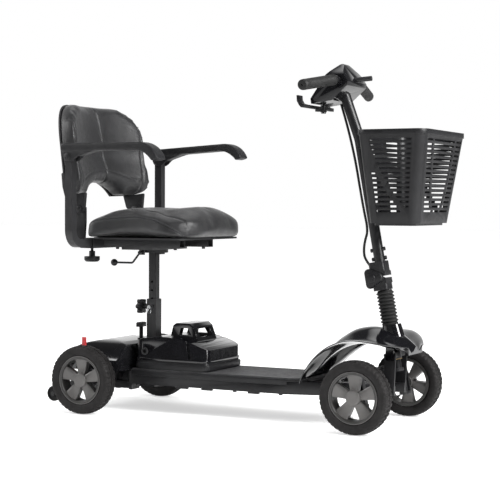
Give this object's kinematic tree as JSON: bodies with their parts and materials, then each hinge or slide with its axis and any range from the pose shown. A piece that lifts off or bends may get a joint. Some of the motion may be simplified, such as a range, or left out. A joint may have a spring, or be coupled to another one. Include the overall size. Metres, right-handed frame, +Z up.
{
  "type": "mobility scooter",
  "caption": "Compact battery mobility scooter with a swivelling padded seat, folding steering column, front basket and spoked small wheels.",
  "frame": {"origin": "on the ground, under the middle of the length and width", "axes": "+X forward along the direction of travel, +Y to the rider's left, +Z up"},
  "size_m": [1.2261, 0.554, 1.0041],
  "materials": {
    "powder_coated_steel": "satin black powder coat",
    "gloss_black": "gloss black moulding",
    "matte_black": "fine-textured black moulding",
    "grey_plastic": "metallic grey moulding",
    "tyre_rubber": "black tyre rubber",
    "soft_rubber": "soft black rubber",
    "upholstery": "black leathercloth with a soft sheen",
    "zinc_steel": "bright zinc plate",
    "grey_mat": "grooved dark grey rubber mat",
    "red_plastic": "gloss red moulding",
    "cast_case": "dark cast alloy",
    "cell_wrap": "blue cell wrap",
    "bronze_bush": "plain bearing bronze"
  },
  "bodies": {
    "chassis": {"deck_frame": "powder_coated_steel", "deck_pan": "matte_black", "deck_mat": "grey_mat", "front_axle_beam": "powder_coated_steel", "front_cowl": "gloss_black", "head_bushes": "bronze_bush", "chassis_bolts": "zinc_steel", "rear_frame": "powder_coated_steel", "transaxle_housing": "cast_case", "drive_motor": "cast_case", "rear_cover": "gloss_black"},
    "steering": {"steering_stem": "powder_coated_steel", "stem_bellows": "soft_rubber"},
    "left_steered_hub": {"left_knuckle": "powder_coated_steel"},
    "right_steered_hub": {"right_knuckle": "powder_coated_steel"},
    "track_rods": {"tie_rods": "zinc_steel"},
    "front_left_wheel": {"front_left_rim": "grey_plastic", "front_left_tyre": "tyre_rubber"},
    "front_right_wheel": {"front_right_rim": "grey_plastic", "front_right_tyre": "tyre_rubber"},
    "rear_left_wheel": {"rear_left_rim": "grey_plastic", "rear_left_tyre": "tyre_rubber"},
    "rear_right_wheel": {"rear_right_rim": "grey_plastic", "rear_right_tyre": "tyre_rubber"},
    "left_anti_tip": {"left_anti_tip_wheel": "soft_rubber"},
    "right_anti_tip": {"right_anti_tip_wheel": "soft_rubber"},
    "tiller": {"tiller_tube": "powder_coated_steel", "tiller_bolts": "zinc_steel", "tiller_cable": "soft_rubber", "console_shell": "gloss_black", "console_panel": "matte_black", "grips": "soft_rubber"},
    "clamp_knob": {"fold_knob": "matte_black"},
    "throttle": {"throttle_lever": "matte_black"},
    "dial": {"speed_dial": "matte_black"},
    "horn": {"horn_button": "gloss_black"},
    "ignition_key": {"key": "red_plastic"},
    "front_basket": {"basket": "matte_black"},
    "battery": {"battery_case": "matte_black", "battery_lid": "gloss_black", "battery_pack": "cell_wrap", "charging_port": "matte_black"},
    "post": {"seat_post": "powder_coated_steel"},
    "seat": {"seat_underframe": "powder_coated_steel", "seat_pan": "matte_black", "seat_cushion": "upholstery", "seat_bolts": "zinc_steel"},
    "release_lever": {"swivel_lever": "powder_coated_steel"},
    "left_arm_support": {"left_arm_post": "powder_coated_steel"},
    "right_arm_support": {"right_arm_post": "powder_coated_steel"},
    "left_arm_pad": {"left_armrest": "matte_black"},
    "right_arm_pad": {"right_armrest": "matte_black"},
    "backrest": {"back_brackets": "matte_black", "backrest_shell": "matte_black", "backrest_cushion": "upholstery"},
    "arm_clamp_knob": {"width_knob": "matte_black"},
    "post_clamp_knob": {"star_knob": "matte_black"},
    "post_pin": {"lock_pin": "zinc_steel"},
    "drive_lever": {"freewheel_lever": "red_plastic"},
    "pull_handle": {"t_handle": "matte_black"}
  },
  "joints": [
    {"name": "steering", "type": "hinge", "parent": "chassis", "child": "steering", "pos_m": [0.46548, 0, 0.21303], "axis": [-0.1822, 0, 0.9833], "range_deg": [-32, 32]},
    {"name": "left_kingpin", "type": "hinge", "parent": "chassis", "child": "left_steered_hub", "pos_m": [0.433, 0.15, 0.1], "axis": [-0.1822, 0, 0.9833], "range_deg": [-32, 32]},
    {"name": "right_kingpin", "type": "hinge", "parent": "chassis", "child": "right_steered_hub", "pos_m": [0.433, -0.15, 0.1], "axis": [-0.1822, 0, 0.9833], "range_deg": [-32, 32]},
    {"name": "track_rod_pivot", "type": "hinge", "parent": "steering", "child": "track_rods", "pos_m": [0.43239, 0, 0.14464], "axis": [-0.1822, 0, 0.9833], "range_deg": [-32, 32]},
    {"name": "front_left_spin", "type": "hinge", "parent": "left_steered_hub", "child": "front_left_wheel", "pos_m": [0.433, 0.198, 0.1], "axis": [0, 1, 0], "continuous": true},
    {"name": "front_right_spin", "type": "hinge", "parent": "right_steered_hub", "child": "front_right_wheel", "pos_m": [0.433, -0.198, 0.1], "axis": [0, 1, 0], "continuous": true},
    {"name": "rear_left_spin", "type": "hinge", "parent": "chassis", "child": "rear_left_wheel", "pos_m": [-0.413, 0.222, 0.1], "axis": [0, 1, 0], "continuous": true},
    {"name": "rear_right_spin", "type": "hinge", "parent": "chassis", "child": "rear_right_wheel", "pos_m": [-0.413, -0.222, 0.1], "axis": [0, 1, 0], "continuous": true},
    {"name": "left_anti_tip_spin", "type": "hinge", "parent": "chassis", "child": "left_anti_tip", "pos_m": [-0.591, 0.11, 0.036], "axis": [0, 1, 0], "continuous": true},
    {"name": "right_anti_tip_spin", "type": "hinge", "parent": "chassis", "child": "right_anti_tip", "pos_m": [-0.591, -0.11, 0.036], "axis": [0, 1, 0], "continuous": true},
    {"name": "tiller_fold", "type": "hinge", "parent": "steering", "child": "tiller", "pos_m": [0.409, 0, 0.408], "axis": [0, 1, 0], "range_deg": [-25, 0]},
    {"name": "fold_knob_turn", "type": "hinge", "parent": "steering", "child": "clamp_knob", "pos_m": [0.409, -0.03, 0.408], "axis": [0, 1, 0], "range_deg": [0, 180]},
    {"name": "throttle_swing", "type": "hinge", "parent": "tiller", "child": "throttle", "pos_m": [0.247, 0, 0.885], "axis": [0, 0, 1], "range_deg": [-12, 12], "stiffness_Nm_per_rad": 0.6},
    {"name": "speed_dial_turn", "type": "hinge", "parent": "tiller", "child": "dial", "pos_m": [0.27904, 0, 0.96596], "axis": [-0.8188, 0, 0.574], "range_deg": [0, 270]},
    {"name": "horn_press", "type": "slide", "parent": "tiller", "child": "horn", "axis": [0.8188, 0, -0.574], "range_m": [0, 0.002], "stiffness_N_per_m": 400},
    {"name": "key_turn", "type": "hinge", "parent": "tiller", "child": "ignition_key", "pos_m": [0.25608, 0.036, 0.93321], "axis": [-0.8188, 0, 0.574], "range_deg": [0, 60]},
    {"name": "basket_lift", "type": "slide", "parent": "tiller", "child": "front_basket", "axis": [0, 0, 1], "range_m": [0, 0.1]},
    {"name": "battery_lift", "type": "slide", "parent": "chassis", "child": "battery", "axis": [0, 0, 1], "range_m": [0, 0.06]},
    {"name": "seat_height", "type": "slide", "parent": "chassis", "child": "post", "axis": [0, 0, 1], "range_m": [-0.075, 0.075]},
    {"name": "seat_swivel", "type": "hinge", "parent": "post", "child": "seat", "pos_m": [-0.307, 0, 0.48], "axis": [0, 0, 1], "continuous": true},
    {"name": "release_lever_lift", "type": "hinge", "parent": "seat", "child": "release_lever", "pos_m": [-0.319, -0.045, 0.467], "axis": [0, 1, 0], "range_deg": [0, 10], "stiffness_Nm_per_rad": 1.5, "springref_deg": -5.73},
    {"name": "left_arm_width", "type": "slide", "parent": "seat", "child": "left_arm_support", "axis": [0, 1, 0], "range_m": [0, 0.05]},
    {"name": "right_arm_width", "type": "slide", "parent": "seat", "child": "right_arm_support", "axis": [0, -1, 0], "range_m": [0, 0.05]},
    {"name": "left_armrest_flip", "type": "hinge", "parent": "left_arm_support", "child": "left_arm_pad", "pos_m": [-0.437, 0.252, 0.746], "axis": [0, -1, 0], "range_deg": [0, 90]},
    {"name": "right_armrest_flip", "type": "hinge", "parent": "right_arm_support", "child": "right_arm_pad", "pos_m": [-0.437, -0.252, 0.746], "axis": [0, -1, 0], "range_deg": [0, 90]},
    {"name": "backrest_fold", "type": "hinge", "parent": "seat", "child": "backrest", "pos_m": [-0.463, 0, 0.596], "axis": [0, 1, 0], "range_deg": [0, 60]},
    {"name": "arm_knob_turn", "type": "hinge", "parent": "seat", "child": "arm_clamp_knob", "pos_m": [-0.437, -0.14, 0.455], "axis": [0, 0, 1], "range_deg": [0, 180]},
    {"name": "post_knob_turn", "type": "hinge", "parent": "chassis", "child": "post_clamp_knob", "pos_m": [-0.343, 0, 0.303], "axis": [1, 0, 0], "range_deg": [0, 180]},
    {"name": "post_pin_pull", "type": "slide", "parent": "chassis", "child": "post_pin", "axis": [0, -1, 0], "range_m": [0, 0.06]},
    {"name": "freewheel_swing", "type": "hinge", "parent": "chassis", "child": "drive_lever", "pos_m": [-0.458, -0.15, 0.114], "axis": [0, 1, 0], "range_deg": [-12, 0]},
    {"name": "release_pull", "type": "slide", "parent": "chassis", "child": "pull_handle", "axis": [0, 0, 1], "range_m": [0, 0.02], "stiffness_N_per_m": 300, "springref_m": -0.01}
  ],
  "couplings": [
    {"joint": "left_kingpin", "follows": "steering", "ratio": 1},
    {"joint": "right_kingpin", "follows": "steering", "ratio": 1},
    {"joint": "track_rod_pivot", "follows": "steering", "ratio": -1}
  ]
}
